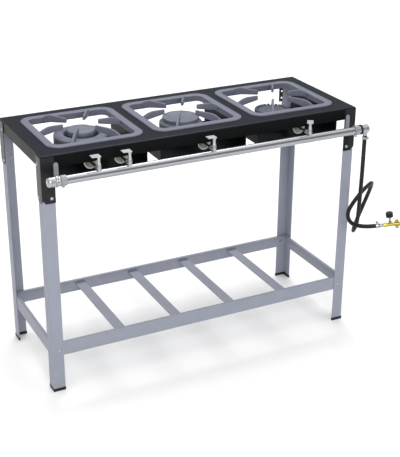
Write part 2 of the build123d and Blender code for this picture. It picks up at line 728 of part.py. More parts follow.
def wing_nut():
    """Brass wing nut that clamps the inlet nose to the cylinder."""
    hub = Cylinder(8.5, 16, align=UPWARD)
    ear = Pos(0, 14.5, 8) * Rot(0, 90, 0) * extrude(RectangleRounded(10, 15, 4), 2, both=True)
    nut = Rot(0, 0, 30) * (hub + ear + Rot(0, 0, 180) * ear)
    bore = Pos(0, 0, -1) * Cylinder(5.1, 18, align=UPWARD)
    return Pos(0, 0, WING_AT) * (nut - bore)


def inlet_nose():
    """Inlet nose that seals in the cylinder's valve."""
    stem = Pos(0, 0, VALVE_L - 9) * Cylinder(NOSE_R, 10, align=UPWARD)
    barrel = Pos(0, 0, VALVE_L) * Cylinder(4.6, 14, align=UPWARD)
    bulb = Pos(0, 0, VALVE_L + 11) * Cylinder(7.0, 4, align=UPWARD)
    tip = Pos(0, 0, VALVE_L + 15) * Cone(7.0, 2.5, 11, align=UPWARD)
    return stem + barrel + bulb + tip


# ---------------------------------------------------------------- build and write every part
save("table_top", table_top())
for corner_name, corner in CORNERS.items():
    save(f"leg_{corner_name}", leg(*corner))
    save(f"corner_bracket_{corner_name}", corner_bracket(*corner))
save("feet", *[foot(*corner) for corner in CORNERS.values()])

save("shelf_rail_front", long_rail(-1))
save("shelf_rail_back", long_rail(1))
save("shelf_rail_left", side_rail(-1))
save("shelf_rail_right", side_rail(1))
save("shelf_slats", *[slat(x) for x in SLAT_XS])

frame_bolts = []
for corner in CORNERS.values():
    for bolt in corner_bolts(*corner) + [shelf_bolt(*corner)]:
        frame_bolts.append(dome_bolt(*bolt))
save("frame_bolts", *frame_bolts)

for bay, bay_x in BAYS.items():
    save(f"grate_{bay}", grate(bay_x))
    save(f"tray_{bay}", tray(bay_x))
save("tray_sides", *[tray_side(x, side) for x in BAYS.values() for side in (-1, 1)])

LEFT_R = 84.0
LEFT_TOP = 745.0
MIDDLE_R = 68.5
MIDDLE_TOP = 750.0
RIGHT_R = 54.0
RIGHT_TOP = 729.0
left_body = ring_burner_body(BAYS["left"], LEFT_R, LEFT_TOP)
middle_body = burner_body(BAYS["middle"], MIDDLE_R, 58.5, MIDDLE_TOP)
right_body = burner_body(BAYS["right"], RIGHT_R, 52.0, RIGHT_TOP)
save("burner_left_ring_lid", ring_lid(BAYS["left"], LEFT_R, LEFT_TOP))
save("burner_left_centre_cap", centre_cap(BAYS["left"], LEFT_TOP + CUP_RISE))
save("burner_middle_cap", disc_cap(BAYS["middle"], 58.5, MIDDLE_TOP, 12))
save("burner_right_cap", toothed_cap(BAYS["right"], 59.0, RIGHT_TOP))

venturis = {
    "left_ring": (TAP_XS[0], (BAYS["left"] - 30.0, -66.0, 726.0)),
    "left_centre": (TAP_XS[1], (BAYS["left"] + 34.0, -64.0, 726.0)),
    "middle": (TAP_XS[2], (BAYS["middle"], -58.0, 733.0)),
    "right": (TAP_XS[3], (BAYS["right"], -44.0, 713.0)),
}
burners = {"left": left_body, "middle": middle_body, "right": right_body}
for venturi_name, (tap_x, tube_end) in venturis.items():
    save(f"venturi_{venturi_name}", venturi(tap_x, tube_end))
    bay = venturi_name.split("_")[0]
    burners[bay] = burners[bay] - venturi_hole(tap_x, tube_end)
for bay, body in burners.items():
    save(f"burner_{bay}_body", body)

save("manifold_pipe", manifold_pipe())
save("manifold_end_cap", end_cap())
save("manifold_end_elbow", end_elbow())
save("manifold_rings", pipe_ring(-506.5, 6.0, 16.2), pipe_ring(-499.5, 6.0, 14.6))
save("manifold_gasket", pipe_ring(515.0, 4.0, 16.0))
for side_name, strap_x in STRAP_XS.items():
    save(f"manifold_strap_{side_name}", strap(strap_x, PLATE_SHIFT[side_name]))
save("strap_screws", *[strap_screw(x) for x in STRAP_XS.values()])

for number, (tap_x, tap_turn) in enumerate(zip(TAP_XS, TAP_TURN), start=1):
    save(f"tap_body_{number}", tap_body(tap_x))
    save(f"tap_handle_{number}", tap_handle(tap_x, tap_turn))
save("injectors", *[injector(x) for x in TAP_XS])

save("hose_nipple", hose_nipple())
save("gas_hose", hose())
top_plane = Plane(origin=(ELBOW_X, PIPE_Y, HOSE_Z1), x_dir=(1, 0, 0), z_dir=(0, 0, -1))
save("hose_clamps", hose_clamp(top_plane, 3), hose_clamp(hose_frame(), -11))
save("hose_ferrule", on_valve(ferrule()))
save("valve_body", on_valve(valve_body()))
save("valve_stem", on_valve(valve_stem()))
save("valve_knob", on_valve(valve_knob()))
save("wing_nut", on_valve(wing_nut()))
save("inlet_nose", on_valve(inlet_nose()))
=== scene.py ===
"""Three-burner gas stove on a stand: the visual model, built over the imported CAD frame."""
import json
from math import cos, pi, radians, sin

import bmesh
import bpy
from mathutils import Matrix, Vector


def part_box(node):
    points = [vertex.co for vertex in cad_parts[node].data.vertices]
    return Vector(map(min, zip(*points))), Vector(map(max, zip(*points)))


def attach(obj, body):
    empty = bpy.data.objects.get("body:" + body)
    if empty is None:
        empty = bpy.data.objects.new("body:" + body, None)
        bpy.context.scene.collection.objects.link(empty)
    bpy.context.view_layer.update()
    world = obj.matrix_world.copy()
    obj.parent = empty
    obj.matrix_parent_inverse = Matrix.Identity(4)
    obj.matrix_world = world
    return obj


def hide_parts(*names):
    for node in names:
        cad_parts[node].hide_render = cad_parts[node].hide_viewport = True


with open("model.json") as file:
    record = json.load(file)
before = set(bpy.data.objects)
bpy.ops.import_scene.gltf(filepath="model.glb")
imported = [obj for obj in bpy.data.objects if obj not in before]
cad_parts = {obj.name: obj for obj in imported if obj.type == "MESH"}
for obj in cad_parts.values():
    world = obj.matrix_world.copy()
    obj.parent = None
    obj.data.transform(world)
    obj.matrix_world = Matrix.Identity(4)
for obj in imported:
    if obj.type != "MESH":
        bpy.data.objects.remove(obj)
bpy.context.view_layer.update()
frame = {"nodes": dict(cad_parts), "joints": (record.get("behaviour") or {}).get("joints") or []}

MM = 0.001
TABLE_LO, TABLE_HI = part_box("table_top")
TABLE_X = (TABLE_LO.x + TABLE_HI.x) / 2
TABLE_Y = (TABLE_LO.y + TABLE_HI.y) / 2
PLATE_TOP = TABLE_HI.z
BAYS = ("left", "middle", "right")
X_AXIS = Vector((1, 0, 0))
Y_AXIS = Vector((0, 1, 0))
Z_AXIS = Vector((0, 0, 1))


# ---------------------------------------------------------------- camera and hose come first
SENSOR_WIDTH = 36.0
LENS = 82.31
CAMERA_TURN = -26.93
CAMERA_DIP = 24.347
CAMERA_ROLL = 0.375
CAMERA_SPOT = Vector((TABLE_X - 1.37111, TABLE_Y - 2.83900, 1.79891))


def add_camera():
    """Camera solved from the stove's straight edges: angles in degrees, place in metres."""
    data = bpy.data.cameras.new("camera")
    data.sensor_width = SENSOR_WIDTH
    data.lens = LENS
    camera = bpy.data.objects.new("camera", data)
    turn = Matrix.Rotation(radians(CAMERA_TURN), 4, "Z")
    tilt = Matrix.Rotation(radians(90 - CAMERA_DIP), 4, "X")
    roll = Matrix.Rotation(radians(CAMERA_ROLL), 4, "Z")
    camera.matrix_world = Matrix.Translation(CAMERA_SPOT) @ turn @ tilt @ roll
    bpy.context.scene.collection.objects.link(camera)
    bpy.context.scene.camera = camera


HOSE_R = 6.75 * MM
HOSE_POINTS = (
    (536, -247, 694), (536, -247, 622), (534, -250, 556), (530, -253, 488), (533, -246, 391),
    (539, -221, 350), (562, -184, 326), (595, -147, 328), (629, -122, 354), (654, -116, 397),
    (661, -130, 444), (646, -159, 480), (614, -191, 494), (572, -212, 487), (539, -223, 467),
    (511, -235, 450), (487, -252, 438), (468, -281, 429), (460, -315, 426), (467, -348, 429),
    (488, -374, 434), (514, -390, 439),
)


def place(point):
    """A point given in millimetres from the table's centre, in the frame's metres."""
    return Vector((point[0] * MM + TABLE_X, point[1] * MM + TABLE_Y, point[2] * MM))


def add_hose():
    """Rubber hose as a smooth tube through its route."""
    data = bpy.data.curves.new("hose_tube", "CURVE")
    data.dimensions = "3D"
    data.bevel_depth = HOSE_R
    data.bevel_resolution = 6
    data.resolution_u = 10
    data.use_fill_caps = True
    spline = data.splines.new("NURBS")
    spline.points.add(len(HOSE_POINTS) - 1)
    for control, point in zip(spline.points, HOSE_POINTS):
        control.co = (*place(point), 1.0)
    spline.order_u = 3
    spline.use_endpoint_u = True
    spline.use_smooth = True
    hose = bpy.data.objects.new("hose_tube", data)
    bpy.context.scene.collection.objects.link(hose)
    return hose


# ---------------------------------------------------------------- looks
def linear(red, green, blue):
    """Display colour, 0 to 255, as linear values."""
    values = [channel / 255 for channel in (red, green, blue)]
    return [v / 12.92 if v <= 0.04045 else ((v + 0.055) / 1.055) ** 2.4 for v in values]


DRIFT_DETAIL = 5.0
DRIFT_RANGE = (0.3, 0.7)
GRAIN_DETAIL = 3.0
GRAIN_DEPTH = 0.0004
SMOOTHEST = 0.02


def look(name, colour, roughness, metallic=0.0, vary=0.06, patch=30.0, bump=0.0, grain=600.0,
         specular=0.5, ior=1.5, spread=0.05):
    """Procedural finish: colour and roughness drift over the surface, with an optional fine grain.

    vary and spread are the drift of the colour and the roughness, patch and grain the scales of the noise.
    """
    material = bpy.data.materials.new(name)
    material.use_nodes = True
    nodes = material.node_tree.nodes
    links = material.node_tree.links
    shader = nodes["Principled BSDF"]
    shader.inputs["Metallic"].default_value = metallic
    shader.inputs["IOR"].default_value = ior
    shader.inputs["Specular IOR Level"].default_value = specular
    where = nodes.new("ShaderNodeTexCoord")
    drift = nodes.new("ShaderNodeTexNoise")
    drift.inputs["Scale"].default_value = patch
    drift.inputs["Detail"].default_value = DRIFT_DETAIL
    links.new(where.outputs["Object"], drift.inputs["Vector"])
    ramp = nodes.new("ShaderNodeValToRGB")
    base = linear(*colour)
    for stop, position, gain in zip(ramp.color_ramp.elements, DRIFT_RANGE, (1 - vary, 1 + vary)):
        stop.position = position
        stop.color = [min(1.0, channel * gain) for channel in base] + [1.0]
    links.new(drift.outputs["Fac"], ramp.inputs["Fac"])
    links.new(ramp.outputs["Color"], shader.inputs["Base Color"])
    shine = nodes.new("ShaderNodeMapRange")
    shine.inputs["To Min"].default_value = max(SMOOTHEST, roughness - spread)
    shine.inputs["To Max"].default_value = min(1.0, roughness + spread)
    links.new(drift.outputs["Fac"], shine.inputs["Value"])
    links.new(shine.outputs["Result"], shader.inputs["Roughness"])
    if bump > 0:
        grit = nodes.new("ShaderNodeTexNoise")
        grit.inputs["Scale"].default_value = grain
        grit.inputs["Detail"].default_value = GRAIN_DETAIL
        relief = nodes.new("ShaderNodeBump")
        relief.inputs["Strength"].default_value = bump
        relief.inputs["Distance"].default_value = GRAIN_DEPTH
        links.new(where.outputs["Object"], grit.inputs["Vector"])
        links.new(grit.outputs["Fac"], relief.inputs["Height"])
        links.new(relief.outputs["Normal"], shader.inputs["Normal"])
    return material


# display colour and roughness of each finish, then what differs from look's defaults
PRESSED = {"vary": 0.05, "patch": 14, "specular": 0.4}
CAST = {"patch": 60, "bump": 0.35, "grain": 900, "specular": 0.4}
FINISHES = {
    "plate": ((33, 36, 44), 0.30, {"bump": 0.06, "ior": 1.15, **PRESSED}),
    # painted highlight: the plate's black made paler for the folds, standing in for the light caught along
    # each bend
    "fold_highlight": ((42, 45, 50), 0.26, {"ior": 1.3, **PRESSED}),
    # painted shade: the plate's black darkened for the skirts and the underside; the burner trays use it
    # too
    "skirt": ((16, 18, 19), 0.30, {"bump": 0.05, "ior": 1.15, **PRESSED}),
    "black_paint": ((27, 28, 31), 0.28, {"vary": 0.08, "bump": 0.05, "ior": 1.3}),
    "grey_paint": ((146, 150, 163), 0.42, {"vary": 0.03, "patch": 20, "bump": 0.05, "specular": 0.3}),
    "cast": ((107, 110, 125), 0.55, CAST),
    "dark_cast": ((84, 87, 101), 0.55, {"vary": 0.10, **CAST}),
    "bell": ((196, 198, 196), 0.38, {"metallic": 0.5, "patch": 90, "bump": 0.15}),
    "chrome": ((168, 170, 174), 0.20, {"metallic": 1.0, "vary": 0.03, "patch": 12, "spread": 0.04}),
    "zinc": ((172, 174, 178), 0.30, {"metallic": 0.9, "vary": 0.05, "patch": 120, "bump": 0.05}),
    "strap": ((146, 149, 155), 0.36, {"metallic": 0.3, "vary": 0.04, "patch": 50, "bump": 0.05}),
    "handle": ((190, 191, 192), 0.34, {"metallic": 0.5, "vary": 0.05, "patch": 90, "bump": 0.1}),
    # painted shade: the injectors' brass is darkened for the shadow they sit in between the taps and the
    # bell mouths
    "injector": ((92, 84, 52), 0.36, {"metallic": 1.0, "vary": 0.10, "patch": 150, "bump": 0.08}),
    "brass": ((158, 146, 66), 0.34, {"metallic": 0.9, "vary": 0.08, "patch": 150, "bump": 0.08}),
    "rubber": ((22, 22, 23), 0.50, {"vary": 0.10, "patch": 40, "bump": 0.2, "grain": 1500,
                                    "specular": 0.3}),
    "plastic": ((20, 20, 21), 0.45, {"patch": 60, "bump": 0.15, "grain": 1200, "specular": 0.3}),
}
LOOKS = {
    name: look("look_" + name, colour, roughness, **rest)
    for name, (colour, roughness, rest) in FINISHES.items()
}


# ---------------------------------------------------------------- mesh helpers
WELD = 1e-6
FLAT_ANGLE = 0.6
SMOOTH_ANGLE = 32.0


def axis_frame(origin, along):
    """Matrix whose local Z runs along a direction."""
    z = Vector(along).normalized()
    x = Z_AXIS.cross(z)
    if x.length < WELD:
        x = X_AXIS.copy()
    x.normalize()
    y = z.cross(x)
    turn = Matrix((x, y, z)).transposed().to_4x4()
    return Matrix.Translation(origin) @ turn


def bridge(bm, loops, wrap=False):
    """Quads between loops of equal length, with flat ends where the shape isn't wrapped."""
    rows = [[bm.verts.new(point) for point in loop] for loop in loops]
    pairs = list(zip(rows, rows[1:]))
    if wrap:
        pairs.append((rows[-1], rows[0]))
    for row, after in pairs:
        count = len(row)
        for index in range(count):
            nxt = (index + 1) % count
            bm.faces.new((row[index], row[nxt], after[nxt], after[index]))
    if not wrap:
        bm.faces.new(rows[0])
        bm.faces.new(rows[-1])


def polar(radius, turn, height):
    """Point about the Z axis, from millimetres to metres."""
    return Vector((radius * cos(turn), radius * sin(turn), height)) * MM


def lathe(bm, profile, matrix, steps=64, wrap=False):
    """Revolve (radius, height) points in millimetres about the matrix's Z axis."""
    turns = [2 * pi * step / steps for step in range(steps)]
    loops = [[matrix @ polar(radius, turn, height) for turn in turns] for radius, height in profile]
    bridge(bm, loops, wrap)


TOOTH_STEPS = 3
GAP_STEPS = 2
TOOTH_DRAFT = 0.03


def notched_lathe(bm, profile, matrix, count, share, wrap=False):
    """Revolve a profile with teeth that fill a share of every pitch, and gaps between them.

    A row is (radius, height, gap radius, gap height), or (radius, height) where tooth and gap are the same.
    """
    pitch = 2 * pi / count
    draft = pitch * TOOTH_DRAFT
    tooth = pitch * share
    gap = pitch - tooth - 2 * draft
    tooth_turns = [tooth * step / TOOTH_STEPS for step in range(TOOTH_STEPS + 1)]
    gap_turns = [tooth + draft + gap * step / GAP_STEPS for step in range(GAP_STEPS + 1)]
    loops = []
    for row in profile:
        loop = []
        for index in range(count):
            start = index * pitch
            loop += [matrix @ polar(row[0], start + turn, row[1]) for turn in tooth_turns]
            loop += [matrix @ polar(row[-2], start + turn, row[-1]) for turn in gap_turns]
        loops.append(loop)
    bridge(bm, loops, wrap)


def slab(bm, half, low, high):
    """Square plate about the origin, in metres."""
    corners = ((-half, -half), (half, -half), (half, half), (-half, half))
    bridge(bm, [[Vector((x, y, z)) for x, y in corners] for z in (low, high)])


CORNER_STEPS = 10


def rounded_square(centre, half, radius, z):
    """Loop of a rounded square: sizes in millimetres from a centre in metres."""
    points = []
    for corner in range(4):
        base = corner * pi / 2
        cx = (half - radius) * (1 if corner in (0, 3) else -1)
        cy = (half - radius) * (1 if corner in (0, 1) else -1)
        for step in range(CORNER_STEPS + 1):
            turn = base + pi / 2 * step / CORNER_STEPS
            points.append(centre + Vector((cx + radius * cos(turn), cy + radius * sin(turn), z)) * MM)
    return points


def piece(name, bm, look_name, body="stand", nodes=(), bevel=0.0, segments=2):
    """Turn a bmesh into one named object that rides on its CAD body."""
    bmesh.ops.recalc_face_normals(bm, faces=bm.faces)
    limit = radians(SMOOTH_ANGLE)
    for face in bm.faces:
        face.smooth = True
    for edge in bm.edges:
        edge.smooth = len(edge.link_faces) == 2 and edge.calc_face_angle(0) < limit
    mesh = bpy.data.meshes.new(name)
    bm.to_mesh(mesh)
    bm.free()
    mesh.materials.append(LOOKS[look_name])
    obj = bpy.data.objects.new(name, mesh)
    bpy.context.scene.collection.objects.link(obj)
    if bevel > 0:
        for edge in mesh.edges:
            edge.use_edge_sharp = False
        soften = obj.modifiers.new("soft edges", "BEVEL")
        soften.width = bevel * MM
        soften.segments = segments
        soften.limit_method = "ANGLE"
        soften.angle_limit = limit
        even = obj.modifiers.new("even shading", "WEIGHTED_NORMAL")
        even.keep_sharp = True
    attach(obj, body)
    if nodes:
        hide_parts(*nodes)
    return obj


def welded(node):
    """One CAD node's mesh with its vertices joined."""
    bm = bmesh.new()
    bm.from_mesh(frame["nodes"][node].data)
    bmesh.ops.remove_doubles(bm, verts=bm.verts, dist=WELD)
    return bm


def refined(node, look_name, bevel, body="stand", segments=2):
    """A finer copy of one CAD node: flat faces joined, edges rounded over."""
    bm = welded(node)
    bmesh.ops.dissolve_limit(bm, angle_limit=radians(FLAT_ANGLE), verts=bm.verts, edges=bm.edges)
    return piece(node + "_skin", bm, look_name, body, (node,), bevel, segments)


def islands(node):
    """Box of every separate solid in one CAD node, in a fixed order."""
    bm = welded(node)
    left = set(bm.verts)
    boxes = []
    while left:
        found = {left.pop()}
        queue = list(found)
        while queue:
            for edge in queue.pop().link_edges:
                for vert in edge.verts:
                    if vert in left:
                        left.discard(vert)
                        found.add(vert)
                        queue.append(vert)
        boxes.append((
            Vector([min(v.co[i] for v in found) for i in range(3)]),
            Vector([max(v.co[i] for v in found) for i in range(3)]),
        ))
    bm.free()
    return sorted(boxes, key=lambda pair: tuple(round(c, 5) for c in pair[0]))


# ---------------------------------------------------------------- table, legs, shelf, brackets, trays
STEEPEST_FOLD = 0.1
FLATTEST_FOLD = 0.97
UNDERSIDE = PLATE_TOP - 0.5 * MM


def table():
    """Pressed plate: charcoal on top, paler on the folds as a painted highlight, darker on the skirts and
    underneath as painted shade.
    """
    top = refined("table_top", "plate", 0.3)
    top.data.materials.append(LOOKS["skirt"])
    top.data.materials.append(LOOKS["fold_highlight"])
    for polygon in top.data.polygons:
        # faces on the bends get the painted highlight, upright and underneath faces the painted shade
        if STEEPEST_FOLD < polygon.normal.z < FLATTEST_FOLD:
            polygon.material_index = 2
        elif polygon.normal.z <= STEEPEST_FOLD or polygon.center.z < UNDERSIDE:
            polygon.material_index = 1


def stand():
    """Legs, brackets, shelf, feet and burner trays."""
    for side in ("front_left", "front_right", "back_left", "back_right"):
        refined("leg_" + side, "grey_paint", 0.5)
        refined("corner_bracket_" + side, "black_paint", 0.35)
    for side in ("front", "back", "left", "right"):
        refined("shelf_rail_" + side, "grey_paint", 0.5)
    refined("shelf_slats", "grey_paint", 0.5)
    refined("feet", "plastic", 0.8)
    # the burner trays take the same shade-darkened black as the table's skirts
    for bay in BAYS:
        refined("tray_" + bay, "skirt", 0.4)
    refined("tray_sides", "skirt", 0.4)


# bolts farther out than this (metres) go through the table's ends, and the others through front and back
END_BOLT_X = 0.515
# sections in millimetres; the dome heads and the nuts are equally high
DOME = ((5.4, 0.0), (5.35, 0.5), (4.9, 1.4), (4.0, 2.2), (2.6, 2.8), (1.1, 3.0))
NUT = ((5.2, 0.0), (5.2, 2.5), (4.6, 3.0))
THREAD_END = ((3.2, 2.0), (3.0, 2.9), (2.5, 3.0))
HEAD_H = 3.0
SHANK_R = 3.0
SHANK_START = 2.8
SHANK_CUT = 5.2


def bolts():
    """Dome heads outside, hexagon nuts and thread ends inside."""
    bm = bmesh.new()
    for lo, hi in islands("frame_bolts"):
        centre = (lo + hi) / 2
        if abs(centre.x) > END_BOLT_X:
            out = X_AXIS * (1 if centre.x > 0 else -1)
        else:
            out = Y_AXIS * (1 if centre.y > TABLE_Y else -1)
        half = abs((hi - lo).dot(out)) / 2
        tip = centre + out * half
        end = centre - out * half
        shank = ((SHANK_R, 0.0), (SHANK_R, 2 * half / MM - SHANK_CUT))
        lathe(bm, DOME, axis_frame(tip - out * HEAD_H * MM, out), 32)
        lathe(bm, shank, axis_frame(tip - out * SHANK_START * MM, -out), 24)
        lathe(bm, NUT, axis_frame(end + out * HEAD_H * MM, -out), 6)
        lathe(bm, THREAD_END, axis_frame(end + out * HEAD_H * MM, -out), 24)
    piece("bolt_set", bm, "zinc", nodes=("frame_bolts",))


# ---------------------------------------------------------------- grates
# the ring's section, as half sides, corner radii and heights above the plate
RING = (
    (152.0, 42.0, 0.0), (152.0, 42.0, 2.0), (151.6, 41.6, 3.0), (150.8, 40.8, 3.75), (149.6, 39.6, 4.0),
    (131.0, 25.0, 4.0), (129.2, 23.2, 3.7), (128.2, 22.2, 2.9), (128.0, 22.0, 1.5), (128.0, 22.0, -14.2),
    (128.8, 22.8, -15.0), (132.2, 26.2, -15.0), (133.0, 27.0, -14.2), (133.0, 27.0, -0.4),
    (134.4, 28.0, 0.0),
)
RING_HALF = 128.0
# pot fingers: distances from the grate's centre, and heights above the plate
FINGERS = 6
FINGER_IN = 57.0
FINGER_TOP = 17.0
FINGER_HALF = 4.0
FINGER_ROOT = 2.0
FINGER_LOW = 3.0
FINGER_FALL = 14.0
TIP_ROUND = 0.7
TIP_SLOPE = 2.0
TIP_NARROW = 0.75
STRAIGHT_FROM = 8.0
ARCH = 40.0
ARCH_DROP = 13.5
STRAIGHT_STEPS = 4
ARCH_STEPS = 9


def finger_section(r, reach):
    """Low and high edge of a pot finger at a distance from the grate's centre."""
    share = max(0.0, r - (reach - ARCH)) / ARCH
    high = FINGER_TOP - ARCH_DROP * share ** 2
    if r < FINGER_IN + TIP_SLOPE:
        high = FINGER_TOP - (TIP_SLOPE - (r - FINGER_IN)) / 2
    low = FINGER_LOW - FINGER_FALL * (r - FINGER_IN) / (reach - FINGER_IN)
    return low, high


def add_finger(bm, centre, turn):
    """One cast finger, slightly drafted, with rounded top edges."""
    reach = RING_HALF / max(abs(cos(turn)), abs(sin(turn))) + FINGER_ROOT
    straight = FINGER_IN + STRAIGHT_FROM
    arch = reach - ARCH
    spots = [FINGER_IN, FINGER_IN + TIP_ROUND, FINGER_IN + TIP_SLOPE, straight]
    spots += [straight + (arch - straight) * step / STRAIGHT_STEPS for step in range(1, STRAIGHT_STEPS + 1)]
    spots += [arch + ARCH * step / ARCH_STEPS for step in range(1, ARCH_STEPS + 1)]
    spin = Matrix.Rotation(turn, 4, "Z")
    loops = []
    for r in spots:
        low, high = finger_section(r, reach)
        narrow = TIP_NARROW if r == FINGER_IN else 1.0
        outline = (
            (FINGER_HALF, low + 0.8), (FINGER_HALF * 0.93, high - 2.2), (FINGER_HALF * 0.8, high - 0.8),
            (FINGER_HALF * 0.5, high), (-FINGER_HALF * 0.5, high), (-FINGER_HALF * 0.8, high - 0.8),
            (-FINGER_HALF * 0.93, high - 2.2), (-FINGER_HALF, low + 0.8), (-FINGER_HALF * 0.8, low),
            (FINGER_HALF * 0.8, low),
        )
        loops.append([centre + spin @ Vector((r, side * narrow, z)) * MM for side, z in outline])
    bridge(bm, loops)


def grate(bay):
    """Square cast ring with a well wall and six arched fingers."""
    lo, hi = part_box("grate_" + bay)
    centre = Vector(((lo.x + hi.x) / 2, (lo.y + hi.y) / 2, PLATE_TOP))
    bm = bmesh.new()
    bridge(bm, [rounded_square(centre, *row) for row in RING], wrap=True)
    for index in range(FINGERS):
        add_finger(bm, centre, 2 * pi * index / FINGERS)
    piece("grate_cast_" + bay, bm, "cast", "grate_" + bay, ("grate_" + bay,))


# ---------------------------------------------------------------- burners
# heights in millimetres above the floor
TRAY_FLOOR = 691.5
LID_SEAT = 745.3
CAP_SEAT = 755.3
DISC_SEAT = 750.3
CROWN_SEAT = 729.3
BOWL_STEPS = 96


def bay_axis(bay, height=0.0):
    """Upright matrix on one burner's centre line, at a height in millimetres."""
    lo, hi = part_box("grate_" + bay)
    return Matrix.Translation(((lo.x + hi.x) / 2, TABLE_Y, height * MM))


def left_burner():
    """Double burner: ring bowl with a slotted lid, and a centre cup with its own cap."""
    bm = bmesh.new()
    lathe(bm, (
        (30, TRAY_FLOOR), (30, 695), (28.5, 698), (28.5, 708), (32, 712), (70, 714), (80, 716.5),
        (83.4, 720), (84, 724), (84, 744), (83.2, 745), (79.6, 745), (79, 744), (79, 721), (58, 721),
        (58, 744.4), (57.4, 745), (54.1, 745), (53.5, 744.4), (53.5, 721), (38, 721), (38, 754.4),
        (37.4, 755), (33.6, 755), (33, 754.4), (33, 723), (6, 723),
    ), bay_axis("left"), BOWL_STEPS)
    piece("burner_left_bowl", bm, "cast", nodes=("burner_left_body",))
    bm = bmesh.new()
    notched_lathe(bm, (
        (84.0, 0), (84.0, 2), (84.0, 2.5, 80.5, 2.5), (84.0, 7.2, 80.5, 6.6), (83.2, 8.3, 80.4, 7.6),
        (78.0, 10.0), (70.5, 11.9), (69.0, 12), (57.0, 12), (55.4, 11.6), (52.8, 9.2, 54.6, 9.0),
        (52.5, 8.5, 54.6, 8.4), (52.5, 0), (58.5, 0), (58.5, -6), (62, -6), (62, 3), (75, 3), (75, -6),
        (78.5, -6), (78.5, 0),
    ), bay_axis("left", LID_SEAT), 48, 0.62, wrap=True)
    piece("burner_left_lid", bm, "cast", "burner_left_ring_lid", ("burner_left_ring_lid",))
    bm = bmesh.new()
    notched_lathe(bm, (
        (28.5, -5), (32.5, -5), (32.5, 0), (40.0, 0), (43.0, 0.4, 40.6, 0.4), (43.5, 1.2, 40.8, 1.2),
        (43.5, 5.4, 40.8, 5.4), (43.5, 5.8), (43.5, 12.0), (43.0, 13.2), (41.6, 14.4), (39.5, 15.0),
        (20.0, 15.7), (4.0, 16.0),
    ), bay_axis("left", CAP_SEAT), 30, 0.6)
    node = "burner_left_centre_cap"
    piece("burner_left_cap", bm, "cast", node, (node,))


def middle_burner():
    """Single burner with a flat disc cap."""
    bm = bmesh.new()
    lathe(bm, (
        (30, TRAY_FLOOR), (30, 695), (27, 698), (21.6, 716), (24, 719), (60, 723), (67, 726), (68.5, 729),
        (68.5, 742), (67.6, 744.6), (59.5, 749.4), (58.0, 750), (51.2, 750), (50.5, 749.4), (50.5, 728),
        (22, 728), (22, 752), (21, 753), (4, 753),
    ), bay_axis("middle"), BOWL_STEPS)
    piece("burner_middle_bowl", bm, "cast", nodes=("burner_middle_body",))
    bm = bmesh.new()
    notched_lathe(bm, (
        (22.5, 4), (22.5, -5), (26, -5), (26, 0), (50, 0), (58.0, 0, 56.0, 0), (58.5, 0.5, 56.0, 0.5),
        (58.5, 5.0, 56.0, 4.6), (58.5, 5.2), (58.5, 9.6), (57.8, 11.2), (56.0, 12), (48, 12),
        (46.5, 11.2), (14, 10.8), (12.5, 12), (3, 12),
    ), bay_axis("middle", DISC_SEAT), 40, 0.62)
    piece("burner_middle_disc", bm, "cast", "burner_middle_cap", ("burner_middle_cap",))


def right_burner():
    """Small burner with a low toothed cap."""
    bm = bmesh.new()
    lathe(bm, (
        (30, TRAY_FLOOR), (30, 694), (27, 696), (21.6, 698.6), (48, 702), (53, 705), (54, 708), (54, 722.4),
        (53.6, 724), (52.4, 728.6), (51.6, 729), (44.6, 729), (44, 728.4), (44, 707), (22, 707), (22, 731),
        (21, 732), (4, 732),
    ), bay_axis("right"), BOWL_STEPS)
    piece("burner_right_bowl", bm, "cast", nodes=("burner_right_body",))
    bm = bmesh.new()
    notched_lathe(bm, (
        (22.5, 3), (22.5, -5), (26, -5), (26, 0), (56, 0, 54.6, 0), (58, 2, 54.6, 2.6),
        (58, 8.4, 54.6, 3.2), (57.2, 10, 54.2, 5.4), (55, 10.8, 53.6, 6.8), (50.4, 11, 50.4, 7.6),
        (49.4, 10.4, 49.4, 7.2), (46, 5, 46, 4.6), (24, 4.6), (22.6, 5), (18.6, 8.6), (17, 9), (3, 9),
    ), bay_axis("right", CROWN_SEAT), 26, 0.58)
    piece("burner_right_crown", bm, "dark_cast", "burner_right_cap", ("burner_right_cap",))


BELL = (
    (21.0, 0.0), (21.0, 1.2), (19.6, 2.6), (17.4, 7.0), (15.0, 13.0), (13.2, 19.0), (12.5, 23.0),
    (12.5, 32.4), (12.0, 33.0), (11.0, 33.0), (7.5, 33.0), (8.4, 23.0), (10.6, 16.0), (14.0, 8.0),
    (18.0, 1.6), (19.6, 0.0),
)
MOUTH_Y = -183.0
TUBE_Y = MOUTH_Y + 28.0
TUBE_R = 11.0
GAS_Z = 732.5
# each mixing tube's place across the table, and the point where it ends inside its burner
TUBE_ENDS = {
    "left_ring": (-376, (-365, -66, 726)), "left_centre": (-281, (-301, -64, 726)),
    "middle": (-9, (0, -58, 733)), "right": (326, (335, -44, 713)),
}


def mixing_tubes():
    """Bell mouth and straight tube of every burner's air mixer."""
    for name, (x, end) in TUBE_ENDS.items():
        bm = bmesh.new()
        lathe(bm, BELL, axis_frame(place((x, MOUTH_Y, GAS_Z)), Y_AXIS), 48, wrap=True)
        start = place((x, TUBE_Y, GAS_Z))
        run = place(end) - start
        lathe(bm, ((TUBE_R, 0), (TUBE_R, run.length / MM)), axis_frame(start, run), 32)
        piece("mixer_" + name, bm, "bell", nodes=("venturi_" + name,))


